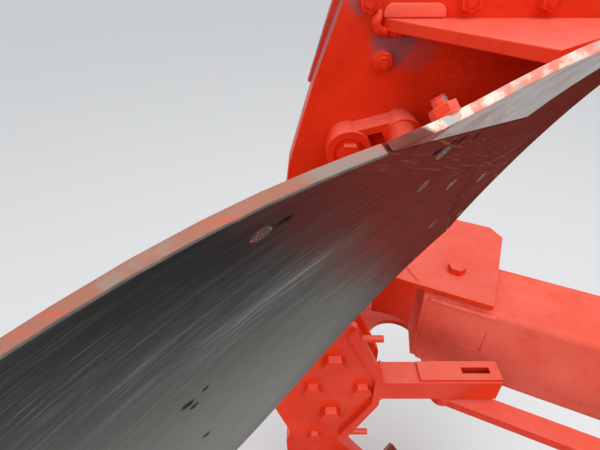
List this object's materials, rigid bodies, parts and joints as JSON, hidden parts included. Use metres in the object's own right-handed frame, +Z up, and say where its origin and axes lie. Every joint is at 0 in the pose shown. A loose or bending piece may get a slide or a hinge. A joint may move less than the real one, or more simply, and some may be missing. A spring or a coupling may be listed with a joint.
{
  "type": "reversible moldboard plough furrow unit",
  "caption": "Furrow unit of a mounted reversible moldboard plough: upper and lower bodies on legs, a width-swinging bracket, a flanged beam and its parallel rod.",
  "frame": {"origin": "centre of the beam flange's front face, in the middle of its bolt circle", "axes": "+X is the direction of travel, +Y the land side, away from which the boards throw, and +Z is up"},
  "size_m": [1.1015, 0.8986, 1.368],
  "materials": {
    "red_paint": "thick brushed and sprayed red paint, uneven, with runs",
    "board_steel": "dark worn steel with lengthwise scratches and red overspray",
    "share_steel": "bright worn steel with rust-brown film",
    "bolt_steel": "plain steel"
  },
  "bodies": {
    "beam": {"beam_tube": "red_paint", "beam_flange": "red_paint", "beam_end_cap": "red_paint", "pivot_bush": "red_paint", "pivot_bolt": "red_paint"},
    "bracket": {"bracket_top": "red_paint", "bracket_bottom": "red_paint", "bracket_web": "red_paint", "cheek_near": "red_paint", "cheek_far": "red_paint", "cheek_spacers": "red_paint", "clamp_bolts": "red_paint", "leg_bolts": "red_paint", "rod_arm": "red_paint", "rod_pin": "red_paint"},
    "width_rod": {"width_rod": "red_paint"},
    "upper_body": {"upper_leg": "red_paint", "upper_frog": "red_paint", "upper_sole": "red_paint", "upper_board_bracket": "red_paint", "upper_moldboard": "board_steel", "upper_shin": "board_steel", "upper_share": "share_steel", "upper_point": "share_steel", "upper_landside": "share_steel", "upper_stay": "red_paint", "upper_shear_core": "bolt_steel"},
    "lower_body": {"lower_leg": "red_paint", "lower_frog": "red_paint", "lower_sole": "red_paint", "lower_board_bracket": "red_paint", "lower_moldboard": "board_steel", "lower_shin": "board_steel", "lower_share": "share_steel", "lower_point": "share_steel", "lower_landside": "share_steel", "lower_stay": "red_paint", "lower_shear_core": "bolt_steel"}
  },
  "joints": [
    {"name": "bracket_swing", "type": "hinge", "parent": "beam", "child": "bracket", "pos_m": [-0.38065, 0.1775, 0], "axis": [0, 0, 1], "range_deg": [-6, 6]},
    {"name": "rod_hinge", "type": "hinge", "parent": "bracket", "child": "width_rod", "pos_m": [-0.42865, -0.001, -0.04], "axis": [0, 0, 1], "range_deg": [-6, 6]},
    {"name": "lower_trip", "type": "hinge", "parent": "bracket", "child": "lower_body", "pos_m": [-0.64565, 0.0145, -0.08], "axis": [0, 1, 0], "range_deg": [0, 25]},
    {"name": "upper_trip", "type": "hinge", "parent": "bracket", "child": "upper_body", "pos_m": [-0.64565, 0.0145, 0.08], "axis": [0, -1, 0], "range_deg": [0, 25]}
  ],
  "couplings": [
    {"joint": "rod_hinge", "follows": "bracket_swing", "ratio": -1}
  ]
}
